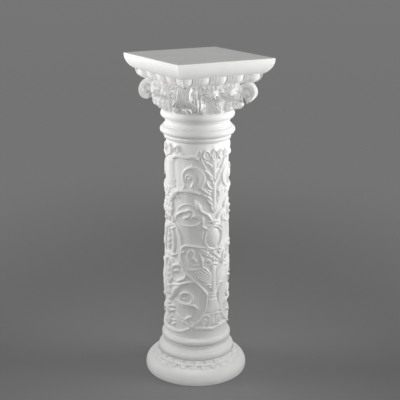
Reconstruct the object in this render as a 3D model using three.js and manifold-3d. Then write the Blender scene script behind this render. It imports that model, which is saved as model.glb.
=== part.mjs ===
// A carved pedestal column with a square top, cast in plaster in three pieces
// that stand on each other: a round base, a shaft with scrolling foliage in low
// relief, and a capital with corner volutes, a ring of leaves and a square top.
// Millimetres, Z up, the underside of the base on z = 0 and the axis on x = y = 0.

import * as THREE from "three";
import { ConvexGeometry } from "three/addons/geometries/ConvexGeometry.js";
import { mergeVertices } from "three/addons/utils/BufferGeometryUtils.js";
import Module from "manifold-3d";

const wasm = await Module();
wasm.setup();

// Heights
const TOTAL_HEIGHT = 1000;
const SHAFT_BOTTOM = 130;
const SHAFT_TOP = 751.5;
const JOINT_GAP = 0.3;

// Base
const BASE_RADIUS = 161;
const BASE_WIDEST_HEIGHT = 12;
const BASE_SWELL = [28, 32];
const BASE_LEAVES = 26;
const BASE_LEAF_RISE = 3;
const BASE_BAND_OUTER = [136, 43.5];
const BASE_BAND_INNER = [119, 58];
const BASE_ROUND_CENTRE = [106, 75];
const BASE_ROUND_SWELL = [13, 13];
const BASE_HOLLOW = [105.5, 101];
const BASE_COLLAR_CENTRE = [97, 118.5];
const BASE_COLLAR_SWELL = [12.2, 11.5];

// Shaft
const SHAFT_RADIUS_BOTTOM = 98.6;
const SHAFT_RADIUS_TOP = 94.9;
const SHAFT_SIDES = 32;
const QUARTER = 97 * Math.PI / 2;

// Relief on the shaft
const STEM_HEIGHT = 6;
const LEAF_HEIGHT = 7;
const UPRIGHT_HEIGHT = 8;
const LONGEST_STEP = 26;
const SHARPEST_TURN = 34;
const RIDGE_CLEARANCE = 4.4;
const FOOT_CLEARANCE = 3.4;
const GROUND_STEP = 34;
const GROUND_COLUMNS = 5;
const GROUND_CLEARANCE = 15;
const FOOT_PART = 1.1;
const SHOULDER_PART = 0.65;
const EDGE_BELOW = 9;
const EDGE_ABOVE = 5;

// Capital
const CAPITAL_SIDES = 28;
const RING_FOOT_RADIUS = 96;
const RING = [[102.4, 762], [99, 768]];
const TORUS_CENTRE = [100, 780.8];
const TORUS_SWELL = [13.9, 14];
const NECK = [97.4, 806];
const ASTRAGAL_CENTRE = [100.5, 829];
const ASTRAGAL_SWELL = [11.4, 13];
const BELL = [[103, 843], [106, 875], [114, 934]];
const FACE_LEAF_SHIFT = 15;
const FACE_LEAF_SPINE = [[98, 842], [105, 868], [114, 896], [128, 914], [138, 903], [136, 886]];
const CORNER_LEAF_SPINE = [[98, 842], [106, 858], [118, 876], [132, 878], [138, 864], [128, 847]];
const LEAF_HALF_WIDTHS = [14, 20, 23, 20, 9];
const LEAF_THICKNESS = 12;
const VOLUTE_CENTRE = [161, 899];
const VOLUTE_HALF_DEPTH = 20.5;
const VOLUTE_HALF_HEIGHT = 23;
const VOLUTE_TIP = [153, 868];
const VOLUTE_INSIDE = [[146, 877], [141, 888]];
const STALK = [[128, 890], [104, 866], [98, 900], [116, 922], [138, 921]];
const VOLUTE_WIDTH = 46;
const VOLUTE_FLARE = 20;
const VOLUTE_GROOVE = 3;
const FLOWER_SIZE = [9, 12, 12];
const FLOWER_PLACE = [115, 916];

// Square top
const TOP_HALF_SIDE = 163.5;
const TOP_FASCIA = 8;
const TOP_UNDERSIDE = 955;
const TOP_FOOT_HALF_SIDE = 141;
const EGG_BAND_BOTTOM = 925.5;
const EGG_BAND_FOOT_HALF_SIDE = 116;
const EGG_BAND_HALF_SIDE = 137.5;
const EGGS_PER_SIDE = 5;
const EGG_PITCH = 58;
const EGG_SIZE = [13.5, 8, 20];
const EGG_PLACE = [132, 946];
const DART_RADIUS = 7;
const DART_LENGTH = 30;
const EGG_TILT = -20;

const degrees = THREE.MathUtils.degToRad;

// A closed geometry becomes a solid, with its faces turned outwards
function solidOf(geometry) {
  geometry.deleteAttribute("normal");
  geometry.deleteAttribute("uv");
  const merged = mergeVertices(geometry, 1e-4);
  const corners = merged.getIndex().array;
  const kept = [];
  for (let i = 0; i < corners.length; i += 3) {
    const [a, b, c] = corners.slice(i, i + 3);
    if (a !== b && b !== c && c !== a) {
      kept.push(a, b, c);
    }
  }
  const vertProperties = new Float32Array(merged.getAttribute("position").array);
  if (signedVolume(vertProperties, kept) < 0) {
    kept.reverse();
  }
  const triVerts = new Uint32Array(kept);
  return new wasm.Manifold(new wasm.Mesh({ numProp: 3, vertProperties, triVerts }));
}

function signedVolume(points, corners) {
  const a = new THREE.Vector3();
  const b = new THREE.Vector3();
  const c = new THREE.Vector3();
  let total = 0;
  for (let i = 0; i < corners.length; i += 3) {
    a.fromArray(points, 3 * corners[i]);
    b.fromArray(points, 3 * corners[i + 1]);
    c.fromArray(points, 3 * corners[i + 2]);
    total += a.dot(b.cross(c));
  }
  return total;
}

function joined(solids) {
  return solids.reduce((whole, next) => whole.add(next));
}

// Every vertex of a geometry is moved by a rule on its own coordinates
function reshaped(geometry, rule) {
  const places = geometry.getAttribute("position");
  const point = new THREE.Vector3();
  for (let i = 0; i < places.count; i += 1) {
    point.fromBufferAttribute(places, i);
    const moved = rule(point.x, point.y, point.z);
    places.setXYZ(i, moved.x, moved.y, moved.z);
  }
  return geometry;
}

function polar(radius, angle, z) {
  return new THREE.Vector3(radius * Math.cos(angle), radius * Math.sin(angle), z);
}

function arc(centreRadius, centreHeight, halfWidth, halfHeight, from, to, steps) {
  const points = [];
  for (let i = 0; i <= steps; i += 1) {
    const angle = degrees(from + (to - from) * i / steps);
    const r = centreRadius + halfWidth * Math.cos(angle);
    points.push([r, centreHeight + halfHeight * Math.sin(angle)]);
  }
  return points;
}

// A turned solid from a list of radius and height pairs, bottom to top
function turned(profile, sides) {
  const first = profile[0];
  const last = profile[profile.length - 1];
  const closed = [[0, first[1]], ...profile, [0, last[1]]];
  const points = closed.map(([r, z]) => new THREE.Vector2(r, z));
  return new THREE.LatheGeometry(points, sides).rotateX(Math.PI / 2);
}

// A square solid with mitred corners from half sides and heights, bottom to top
function squared(profile) {
  const stretched = profile.map(([half, z]) => [half * Math.SQRT2, z]);
  return turned(stretched, 4).rotateZ(Math.PI / 4);
}

// The base: a broad smooth torus, two scalloped rows of small leaves lying on it,
// a half round, a hollow and a collar under the shaft
function baseSolid() {
  const [outerRadius, lowest] = BASE_BAND_OUTER;
  const [innerRadius, highest] = BASE_BAND_INNER;
  const leafRows = [0, 1, 2, 3].map((row) => [
    THREE.MathUtils.lerp(outerRadius, innerRadius, row / 3),
    THREE.MathUtils.lerp(lowest, highest, row / 3),
  ]);
  const [swellOut, swellUp] = BASE_SWELL;
  const floor = -THREE.MathUtils.radToDeg(Math.asin(BASE_WIDEST_HEIGHT / swellUp));
  const swellCentre = BASE_RADIUS - swellOut;
  const profile = [
    ...arc(swellCentre, BASE_WIDEST_HEIGHT, swellOut, swellUp, floor, 84, 4),
    ...leafRows,
    ...arc(...BASE_ROUND_CENTRE, ...BASE_ROUND_SWELL, -50, 78, 3),
    BASE_HOLLOW,
    ...arc(...BASE_COLLAR_CENTRE, ...BASE_COLLAR_SWELL, -60, 70, 2),
  ];
  const geometry = turned(profile, 2 * BASE_LEAVES);
  const middle = (lowest + highest) / 2;
  return solidOf(reshaped(geometry, (x, y, z) => {
    const radius = Math.hypot(x, y);
    const angle = Math.atan2(y, x);
    if (radius < innerRadius - 2 || z < lowest - 0.1 || z > highest + 0.1) {
      return new THREE.Vector3(x, y, z);
    }
    const shift = z < middle ? 0 : Math.PI;
    const rise = BASE_LEAF_RISE * Math.cos(BASE_LEAVES * angle + shift);
    return polar(radius + rise, angle, z + 0.5 * Math.abs(rise));
  }));
}

function shaftRadius(z) {
  const part = (z - SHAFT_BOTTOM) / (SHAFT_TOP - SHAFT_BOTTOM);
  return THREE.MathUtils.lerp(SHAFT_RADIUS_BOTTOM, SHAFT_RADIUS_TOP, part);
}

// The relief is drawn on the unrolled shaft: u runs round it from the front axis
// at 0 to the side axis a quarter turn away, and z is the height. It is drawn
// once and mirrored into the other three quarters.
//
// A stroke is a raised ribbon along a curve. Its section gives pairs of a part of
// its half width and a part of its height, from its ridge out to its foot.
const RIDGE = [[0, 1], [1, 0]];
const ROUND = [[0, 1], [SHOULDER_PART, 0.8], [1, 0]];

function stroke(points, width, height, section = RIDGE) {
  const curve = new THREE.SplineCurve(points.map(([u, z]) => new THREE.Vector2(u, z)));
  return { curve, width, height, section, places: curve.getSpacedPoints(40) };
}

// How the half width of a stroke changes along it
const even = (half) => () => half;
const taper = (from, to) => (t) => THREE.MathUtils.lerp(from, to, t);
const leafy = (half) => (t) => 2 + (half - 2) * Math.sin(Math.PI * Math.min(1, 0.15 + 0.85 * t));

// Points along a spiral about a centre, from its rim inwards
function scroll(u, z, rim, eye, from, sweep, flatness = 1) {
  const count = Math.max(4, Math.round(Math.abs(sweep) / 40));
  const points = [];
  for (let i = 0; i <= count; i += 1) {
    const t = i / count;
    const r = THREE.MathUtils.lerp(rim, eye, t);
    const angle = degrees(from + sweep * t);
    points.push([u + r * Math.cos(angle), z + flatness * r * Math.sin(angle)]);
  }
  return points;
}

// The foliage of one quarter
function foliage() {
  const stem = (points, from, to) => stroke(points, taper(from, to), STEM_HEIGHT);
  const leaf = (points, half) => stroke(points, leafy(half), LEAF_HEIGHT);
  return [
    // The uppermost scroll: a crescent leaf round a curled stem
    leaf([[66, 620], [44, 636], [42, 662], [62, 680], [86, 674], [96, 656]], 8),
    stem([[68, 624], [64, 644], [76, 656], [84, 648]], 4, 4),
    // The band from the side flower to the front cup
    stem([[132, 708], [92, 713], [54, 710]], 7, 6),
    // The arch over the second scroll, and its bud
    stem([[148, 560], [134, 590], [108, 607], [76, 608], [48, 602]], 8, 6),
    leaf([[40, 546], [48, 562], [58, 582]], 8),
    stem([[2, 505], [18, 532], [40, 547]], 5, 5),
    // The second scroll, shaped like an eye
    stem([[38, 550], [74, 567], [110, 552], [121, 524], [104, 502], [70, 500], [44, 512]], 4, 4),
    leaf([[114, 528], [94, 543], [72, 548], [62, 534]], 6),
    leaf([[97, 522], [76, 532]], 6),
    // The third scroll
    stem([[4, 425], [40, 433], [84, 437], [100, 425], [93, 413]], 5, 5),
    stem([[103, 410], [100, 380], [82, 361], [50, 362]], 4, 4),
    leaf([[34, 360], [36, 392], [48, 418]], 6),
    stem([[66, 424], [60, 406], [52, 384], [68, 376], [81, 396]], 5, 4),
    // The fourth scroll and its long falling stem
    stem([[20, 277], [40, 305], [70, 337], [98, 364]], 5, 5),
    leaf([[98, 364], [120, 367], [136, 348]], 7),
    stem([[136, 346], [130, 326], [108, 320], [88, 338]], 4, 5),
    leaf([[130, 343], [110, 350]], 5),
    // The fifth scroll under its broad arch
    leaf([[62, 320], [98, 312], [142, 298]], 7),
    stem([[98, 307], [124, 284], [138, 258], [158, 246]], 5, 9),
    leaf([[48, 232], [74, 246], [122, 257]], 7),
    stem([[74, 248], [66, 268], [82, 281], [100, 266]], 4, 4),
    leaf([[68, 207], [88, 195], [118, 210]], 5),
    // The crossing stems at the foot
    stem([[98, 187], [72, 171], [102, 153], [153, 150]], 4, 8),
    stem([[66, 173], [34, 165], [0, 163]], 5, 7),
    // Leaves beside the front axis
    leaf([[15, 694], [26, 718], [24, 740]], 12),
    leaf([[4, 648], [26, 676], [44, 728]], 6),
    leaf([[6, 586], [26, 606], [46, 618]], 9),
    leaf([[2, 552], [14, 570], [28, 590]], 8),
    leaf([[4, 410], [24, 404], [38, 412]], 8),
    leaf([[6, 322], [34, 336], [56, 352]], 15),
    leaf([[14, 182], [28, 192], [40, 188]], 10),
    // Leaves beside the side axis
    leaf([[138, 700], [122, 718], [116, 744]], 10),
    leaf([[148, 592], [132, 600], [120, 606]], 9),
    leaf([[146, 512], [138, 545], [142, 584]], 9),
    leaf([[148, 532], [136, 518], [130, 504]], 7),
    leaf([[128, 502], [108, 462], [107, 410], [108, 368]], 9),
    leaf([[150, 384], [134, 378], [126, 354]], 9),
    leaf([[150, 330], [136, 340], [140, 364]], 7),
    leaf([[150, 228], [136, 230], [122, 222]], 7),
    leaf([[150, 168], [142, 186], [128, 198]], 8),
  ];
}

// What stands on the front and back axes: a lotus cup on a stem, an oval boss in
// a rim, a cluster of flowers and a bell-shaped vase on a leafy foot
function frontAxis() {
  const bell = (t) => 12 + 22 * t * t;
  return [
    stroke([[0, 694], [0, 738]], leafy(10), 7),
    stroke([[0, 548], [0, 700]], taper(9, 6), 6, ROUND),
    stroke([[-34, 498], [0, 510], [34, 498]], leafy(8), 7),
    stroke(scroll(0, 461, 27, 27, 90, 360, 1.3), even(4), 6.5),
    stroke([[0, 434], [0, 488]], leafy(20), 8, ROUND),
    stroke([[0, 380], [0, 424]], leafy(15), 8, ROUND),
    stroke([[0, 376], [0, 290]], taper(8, 10), 6.5, ROUND),
    stroke([[0, 286], [0, 218]], bell, 7, ROUND),
    stroke([[0, 172], [0, 208]], leafy(8), 7),
  ];
}

// What stands on the side axes: a flower, a smooth baluster and tall leaves
function sideAxis() {
  const upright = (bottom, top, half) => (
    stroke([[QUARTER, bottom], [QUARTER, top]], leafy(half), UPRIGHT_HEIGHT)
  );
  return [
    upright(704, 746, 13),
    stroke([[QUARTER, 704], [QUARTER, 622]], taper(24, 31), 6.5, ROUND),
    upright(590, 620, 20),
    upright(502, 588, 12),
    upright(476, 500, 16),
    upright(408, 482, 11),
    upright(386, 408, 16),
    upright(255, 388, 11),
    upright(228, 250, 14),
    upright(160, 232, 11),
  ];
}

// How high one stroke stands at a place on the unrolled shaft
function strokeHeight({ places, width, height, section }, u, z) {
  let nearest = Infinity;
  let along = 0;
  places.forEach((place, i) => {
    const gap = Math.hypot(u - place.x, z - place.y);
    if (gap < nearest) {
      nearest = gap;
      along = i / (places.length - 1);
    }
  });
  const part = nearest / width(along);
  for (let i = 1; i < section.length; i += 1) {
    const [near, high] = section[i - 1];
    const [far, low] = section[i];
    if (part < far) {
      return height * THREE.MathUtils.mapLinear(part, near, far, high, low);
    }
  }
  return 0;
}

// The relief at any place, with u folded back into the quarter that is drawn
function reliefHeight(strokes, u, z) {
  const folded = Math.abs(u) > QUARTER ? 2 * QUARTER - Math.abs(u) : Math.abs(u);
  return strokes.reduce((most, one) => Math.max(most, strokeHeight(one, folded, z)), 0);
}

// Where a stroke needs a cross section: where it has turned or run far enough
function stations({ curve }) {
  const fine = 60;
  const kept = [0];
  for (let i = 1; i <= fine; i += 1) {
    const last = kept[kept.length - 1];
    const run = curve.getPointAt(i / fine).distanceTo(curve.getPointAt(last));
    const bend = curve.getTangentAt(i / fine).angleTo(curve.getTangentAt(last));
    if (run > LONGEST_STEP || bend > degrees(SHARPEST_TURN) || i === fine) {
      kept.push(i / fine);
    }
  }
  return kept;
}

// The places in one quarter where the skin of the shaft needs a corner: along the
// ridges of the strokes, along their feet, and thinly over the plain ground
function skinCorners(strokes) {
  const kept = [];
  const keep = (u, z, clear) => {
    const edge = u < 2 ? 0 : u > QUARTER - 2 ? QUARTER : u;
    const inside = u > -1 && u < QUARTER + 1;
    const between = z > SHAFT_BOTTOM + EDGE_BELOW && z < SHAFT_TOP - EDGE_ABOVE;
    if (inside && between && kept.every(([a, b]) => Math.hypot(a - edge, b - z) > clear)) {
      kept.push([edge, z]);
    }
  };
  const walk = (one, part, clear, wanted) => {
    for (const t of stations(one)) {
      const place = one.curve.getPointAt(t);
      const across = one.curve.getTangentAt(t).rotateAround(new THREE.Vector2(), Math.PI / 2);
      for (const side of part === 0 ? [0] : [-1, 1]) {
        const out = side * part * one.width(t);
        const u = place.x + across.x * out;
        const z = place.y + across.y * out;
        if (wanted(reliefHeight(strokes, u, z))) {
          keep(u, z, clear);
        }
      }
    }
  };
  for (const one of strokes) {
    walk(one, 0, RIDGE_CLEARANCE, (high) => high < one.height + 1);
  }
  for (const one of strokes) {
    walk(one, FOOT_PART, FOOT_CLEARANCE, (high) => high < 1);
  }
  for (const one of strokes.filter(({ section }) => section === ROUND)) {
    walk(one, SHOULDER_PART, RIDGE_CLEARANCE, () => true);
  }
  const rows = Math.round((SHAFT_TOP - SHAFT_BOTTOM) / GROUND_STEP);
  for (let row = 1; row < rows; row += 1) {
    for (let column = 0; column <= GROUND_COLUMNS; column += 1) {
      const u = QUARTER * (column + (row % 2) / 2) / GROUND_COLUMNS;
      const z = SHAFT_BOTTOM + (SHAFT_TOP - SHAFT_BOTTOM) * row / rows;
      keep(u, z, GROUND_CLEARANCE);
    }
  }
  return kept;
}

// The skin joins its corners as a net of well-shaped triangles. The unrolled
// shaft is laid on a globe by Mercator's rule, where the net is the convex hull
// of the corners, and each corner is then moved out to its own place
function shaftSolid() {
  const strokes = [...foliage(), ...frontAxis(), ...sideAxis()];
  const bottom = SHAFT_BOTTOM + JOINT_GAP;
  const middle = (bottom + SHAFT_TOP) / 2;
  const unrolledRadius = QUARTER * 2 / Math.PI;
  const onGlobe = (u, z) => {
    const latitude = 2 * Math.atan(Math.exp((z - middle) / unrolledRadius)) - Math.PI / 2;
    return polar(Math.cos(latitude), u / unrolledRadius, Math.sin(latitude));
  };
  const corners = [new THREE.Vector3(0, 0, 1), new THREE.Vector3(0, 0, -1)];
  for (let i = 0; i < SHAFT_SIDES; i += 1) {
    const u = 4 * QUARTER * i / SHAFT_SIDES;
    corners.push(onGlobe(u, bottom), onGlobe(u, SHAFT_TOP));
  }
  for (const [u, z] of skinCorners(strokes)) {
    const turns = new Set([u, -u, 2 * QUARTER - u, 2 * QUARTER + u].map((turn) => (
      (turn + 4 * QUARTER) % (4 * QUARTER)
    )));
    turns.forEach((turn) => corners.push(onGlobe(turn, z)));
  }
  const front = -Math.PI / 2;
  return solidOf(reshaped(new ConvexGeometry(corners), (x, y, up) => {
    if (Math.abs(up) > 0.99999) {
      return new THREE.Vector3(0, 0, up > 0 ? SHAFT_TOP : bottom);
    }
    const angle = Math.atan2(y, x);
    const z = middle + unrolledRadius * Math.atanh(up);
    const high = reliefHeight(strokes, angle * unrolledRadius, z);
    return polar(shaftRadius(z) + high, angle + front, z);
  }));
}

// The turned part of the capital: ring, torus, neck, astragal and bell
function capitalCore() {
  return solidOf(turned([
    [RING_FOOT_RADIUS, SHAFT_TOP + JOINT_GAP],
    ...RING,
    ...arc(...TORUS_CENTRE, ...TORUS_SWELL, -62, 72, 4),
    NECK,
    ...arc(...ASTRAGAL_CENTRE, ...ASTRAGAL_SWELL, -80, 75, 4),
    ...BELL,
  ], CAPITAL_SIDES));
}

// Half side and height pairs of a quarter round that swells outwards as it rises
function quarterRound(foot, reach, bottom, rise, steps) {
  const points = [];
  for (let i = 0; i <= steps; i += 1) {
    const angle = degrees(90 * i / steps);
    points.push([foot + reach * Math.sin(angle), bottom + rise * (1 - Math.cos(angle))]);
  }
  return points;
}

// The square top and, under it, the swelling square band that carries the eggs
function squareTop() {
  const topReach = TOP_HALF_SIDE - TOP_FOOT_HALF_SIDE;
  const topRise = TOTAL_HEIGHT - TOP_FASCIA - TOP_UNDERSIDE;
  const bandReach = EGG_BAND_HALF_SIDE - EGG_BAND_FOOT_HALF_SIDE;
  const bandRise = TOP_UNDERSIDE + 1 - EGG_BAND_BOTTOM;
  const top = solidOf(squared([
    ...quarterRound(TOP_FOOT_HALF_SIDE, topReach, TOP_UNDERSIDE, topRise, 5),
    [TOP_HALF_SIDE, TOTAL_HEIGHT],
  ]));
  const band = solidOf(squared(
    quarterRound(EGG_BAND_FOOT_HALF_SIDE, bandReach, EGG_BAND_BOTTOM, bandRise, 3),
  ));
  return [top, band];
}

// Eggs and darts in turn along each side of the band
function eggsAndDarts() {
  const solids = [];
  const [out, height] = EGG_PLACE;
  for (let side = 0; side < 4; side += 1) {
    for (let i = 0; i < EGGS_PER_SIDE; i += 1) {
      const along = (i - (EGGS_PER_SIDE - 1) / 2) * EGG_PITCH;
      const egg = new THREE.SphereGeometry(1, 6, 3);
      egg.scale(...EGG_SIZE);
      egg.rotateX(degrees(90 + EGG_TILT));
      egg.translate(along, -out, height);
      solids.push(solidOf(egg.rotateZ(side * Math.PI / 2)));
    }
    for (let i = 0; i < EGGS_PER_SIDE - 1; i += 1) {
      const along = (i - (EGGS_PER_SIDE - 2) / 2) * EGG_PITCH;
      const dart = new THREE.ConeGeometry(DART_RADIUS, DART_LENGTH, 4);
      dart.rotateX(degrees(-90 + EGG_TILT));
      dart.translate(along, -out, height);
      solids.push(solidOf(dart.rotateZ(side * Math.PI / 2)));
    }
  }
  return solids;
}

// One leaf of the ring round the bell: a hollow tongue that rises, leans out and
// curls over, with lobes along its edges
function bellLeaf(spine, turn) {
  const curve = new THREE.SplineCurve(spine.map(([r, z]) => new THREE.Vector2(r, z)));
  const section = new THREE.Shape([
    new THREE.Vector2(-1, -0.5),
    new THREE.Vector2(1, -0.5),
    new THREE.Vector2(0.75, 0.5),
    new THREE.Vector2(0, 0),
    new THREE.Vector2(-0.75, 0.5),
  ]);
  const steps = LEAF_HALF_WIDTHS.length - 1;
  const geometry = new THREE.ExtrudeGeometry(section, { depth: 1, steps, bevelEnabled: false });
  return solidOf(reshaped(geometry, (across, out, along) => {
    const t = THREE.MathUtils.clamp(along, 0, 1);
    const place = curve.getPointAt(t);
    const direction = curve.getTangentAt(t);
    const half = LEAF_HALF_WIDTHS[Math.round(t * steps)];
    const radius = place.x + direction.y * LEAF_THICKNESS * out;
    const z = place.y - direction.x * LEAF_THICKNESS * out;
    const middle = new THREE.Vector3(radius, half * across, z);
    return middle.applyAxisAngle(new THREE.Vector3(0, 0, 1), turn);
  }));
}

// One corner volute: a fluted band that leaves the bell, curls over under the
// corner of the top and ends in a flared point
function voluteOutline() {
  const [centre, height] = VOLUTE_CENTRE;
  const outer = arc(centre, height, VOLUTE_HALF_DEPTH, VOLUTE_HALF_HEIGHT, 110, -68, 7);
  return [...outer, VOLUTE_TIP, ...VOLUTE_INSIDE, ...STALK];
}

function cornerVolute(turn) {
  const [centre, height] = VOLUTE_CENTRE;
  const outline = new THREE.Shape(voluteOutline().map(([r, z]) => new THREE.Vector2(r, z)));
  const geometry = new THREE.ExtrudeGeometry(outline, { depth: 1, steps: 2, bevelEnabled: false });
  return solidOf(reshaped(geometry, (radius, z, across) => {
    const side = 2 * across - 1;
    const low = THREE.MathUtils.clamp((height - z) / VOLUTE_HALF_HEIGHT, 0, 1);
    const onBand = radius > centre - VOLUTE_HALF_DEPTH;
    const half = (VOLUTE_WIDTH + (onBand ? VOLUTE_FLARE * low * low : 0)) / 2;
    const groove = Math.abs(side) < 0.1 && onBand ? VOLUTE_GROOVE : 0;
    const middle = new THREE.Vector3(radius - groove, side * half, z);
    return middle.applyAxisAngle(new THREE.Vector3(0, 0, 1), turn);
  }));
}

// A small round flower under the middle of each side of the egg band
function faceFlower(turn) {
  const geometry = new THREE.SphereGeometry(1, 6, 4);
  geometry.scale(...FLOWER_SIZE);
  const [out, height] = FLOWER_PLACE;
  geometry.translate(out, 0, height);
  return solidOf(geometry.rotateZ(turn));
}

function capitalSolid() {
  const solids = [capitalCore(), ...squareTop(), ...eggsAndDarts()];
  for (let i = 0; i < 4; i += 1) {
    const face = 90 * i;
    solids.push(bellLeaf(FACE_LEAF_SPINE, degrees(face - FACE_LEAF_SHIFT)));
    solids.push(bellLeaf(FACE_LEAF_SPINE, degrees(face + FACE_LEAF_SHIFT)));
    solids.push(bellLeaf(CORNER_LEAF_SPINE, degrees(face + 45)));
    solids.push(cornerVolute(degrees(face + 45)));
    solids.push(faceFlower(degrees(face)));
  }
  return joined(solids);
}

// The cast plaster of each piece
const plaster = {
  base: new THREE.MeshStandardMaterial({ color: 0xe9e8e6, roughness: 0.62, metalness: 0 }),
  shaft: new THREE.MeshStandardMaterial({ color: 0xe9e8e6, roughness: 0.62, metalness: 0 }),
  capital: new THREE.MeshStandardMaterial({ color: 0xe9e8e6, roughness: 0.62, metalness: 0 }),
};

function meshOf(name, solid) {
  const { vertProperties, triVerts } = solid.getMesh();
  const geometry = new THREE.BufferGeometry();
  geometry.setAttribute("position", new THREE.BufferAttribute(vertProperties, 3));
  geometry.setIndex(new THREE.BufferAttribute(triVerts, 1));
  geometry.computeVertexNormals();
  const mesh = new THREE.Mesh(geometry, plaster[name]);
  mesh.name = name;
  return mesh;
}

const pedestal = new THREE.Group();
pedestal.add(meshOf("base", baseSolid()));
pedestal.add(meshOf("shaft", shaftSolid()));
pedestal.add(meshOf("capital", capitalSolid()));

export default pedestal;
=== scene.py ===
import math

import bpy
import numpy as np
from mathutils import Matrix, Vector


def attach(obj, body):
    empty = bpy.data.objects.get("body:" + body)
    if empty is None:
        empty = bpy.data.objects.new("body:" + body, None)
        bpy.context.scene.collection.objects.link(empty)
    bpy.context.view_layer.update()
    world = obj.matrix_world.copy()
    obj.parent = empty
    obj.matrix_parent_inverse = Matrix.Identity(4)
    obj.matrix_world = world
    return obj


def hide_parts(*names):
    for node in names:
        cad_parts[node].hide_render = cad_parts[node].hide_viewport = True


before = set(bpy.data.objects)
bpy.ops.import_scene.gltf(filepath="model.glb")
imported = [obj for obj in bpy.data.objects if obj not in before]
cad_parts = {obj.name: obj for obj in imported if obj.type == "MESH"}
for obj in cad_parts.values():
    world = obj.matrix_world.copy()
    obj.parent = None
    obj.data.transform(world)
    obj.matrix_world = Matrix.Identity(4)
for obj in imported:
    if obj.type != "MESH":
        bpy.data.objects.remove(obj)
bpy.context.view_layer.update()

# Sizes are in millimetres, read from the photo for a height of 1 m, and MM turns them
# to metres. The centre of a moulding is a radius and a height, and its swell is a half
# width and a half height, with a negative width where the moulding is hollow
MM = 0.001
TAU = 2 * math.pi

# Heights
TOTAL_HEIGHT = 1000
SHAFT_BOTTOM = 130
SHAFT_TOP = 751.5
JOINT_GAP = 0.3

# Base
BASE_RADIUS = 161
BASE_WIDEST_HEIGHT = 12
BASE_SWELL = (28, 32)
BASE_BAND_OUTER = (137, 42.5)
BASE_BAND_INNER = (117.5, 60.5)
BASE_BAND_ROWS = 28
BASE_ROUND_CENTRE = (105.5, 75)
BASE_ROUND_SWELL = (13.5, 13.2)
BASE_HOLLOW_CENTRE = (119.6, 99.5)
BASE_HOLLOW_SWELL = (-14.6, 12.6)
BASE_COLLAR_CENTRE = (97, 118.5)
BASE_COLLAR_SWELL = (12.2, 11.5)
BASE_LEAVES = 26
BASE_LEAF_COLUMNS = 15
BASE_LEAF_HALF_WIDTH = 13.5
BASE_LEAF_HEIGHTS = (7, 11)
BASE_UNEVEN = ((0.12, 7, 0), (0.1, 19, 1))

# Shaft
SHAFT_RADIUS_BOTTOM = 98.6
SHAFT_RADIUS_TOP = 94.9
UNROLLED_RADIUS = 97
QUARTER = UNROLLED_RADIUS * math.pi / 2
SHAFT_COLUMNS = 544
SHAFT_ROWS = 540
SHAFT_TRIANGLES = 186000
SHAFT_PLAIN_EDGE = 3
SHAFT_BLUR = 0.55

# Turned part of the capital
CAPITAL_COLUMNS = 288
CAPITAL_FOOT_RADIUS = 96
RING_FOOT = (100.5, 755)
RING_CENTRE = (98.4, 762.5)
RING_SWELL = (4, 4.2)
TORUS_FOOT = (98.6, 768)
TORUS_CENTRE = (98.5, 780.8)
TORUS_SWELL = (15.4, 12.8)
NECK_CENTRE = (107, 806)
NECK_SWELL = (-9.6, 10)
ASTRAGAL_CENTRE = (99.5, 829)
ASTRAGAL_SWELL = (12.4, 13)
BELL_CORE = ((100, 843), (98, 860), (98, 900), (108, 934))

# Ring of leaves
UNROLLED_BELL_RADIUS = 110
EIGHTH = UNROLLED_BELL_RADIUS * math.pi / 4
LEAF_BOTTOM = 839
LEAF_TOP = 927
BELL_HEIGHTS = (839, 843, 870, 900, 927)
BELL_RADII = (101.5, 103, 106, 112, 116)
FACE_LEAF = 28.8
LEAF_COLUMNS = 720
LEAF_ROWS = 112
LEAF_FOOT_RISE = 4
LEAF_DROOP = 0.22
LEAF_DROOP_FROM = 8
LOBE_RELIEF = 1.2
LOBE_SINK = 1.5
MASS_BLUR = 2.0
LOBE_BLUR = 0.5
PIT_DEPTH = 6

# Corner volutes: places round the outline as radius, height, half width and the
# depth of the flutes there. The fluted face between the two outlines is the band,
# a cheek is a side with its hollow round the eye, and the stalk joins the bell
VOLUTE_STATIONS = (
    (106, 905, 17, 0), (120, 914, 18, 0), (140, 924.5, 18.5, 0.2), (156, 926.5, 18.5, 0.5),
    (167, 921, 18, 0.9), (175, 911, 18, 1), (178.8, 901, 19, 1), (178.5, 891, 23, 1),
    (174, 881.5, 30, 1), (166, 873.5, 36, 1), (158, 868.5, 33, 0.8), (151, 866, 20, 0.3),
    (149.5, 871, 18, 0), (145, 880, 18, 0), (138, 887, 18, 0), (126, 886, 17, 0),
    (110, 878, 17, 0),
)
VOLUTE_EYE = (153, 893)
VOLUTE_HALF_WIDTH = 18
VOLUTE_STEPS = 8
CHEEK_RINGS = 18
CHEEK_PARTS = (0.05, 0.985)
CHEEK_ROUND = 3.2
CHEEK_ROUND_PART = 0.2
CHEEK_HOLLOW = 8
CHEEK_HOLLOW_PARTS = (0.36, 0.56)
CHEEK_HOLLOW_WALL = 0.14
CHEEK_EYE = 6
CHEEK_EYE_MARGIN = 0.16
CHEEK_WINDING_START = math.radians(-108)
STALK_RADIUS = 144
STALK_FADE = 8
STALK_RIB = 1.8
STALK_RIB_PITCH = 8.5
BAND_RINGS = 45
BAND_ROUND = 2.2
FLUTE_PITCH = 0.27
FIRST_RIDGE = 0.40
GROOVE_DEPTH = 6
RIDGE_HEIGHT = 4
RIDGE_SINK = 3.6

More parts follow.
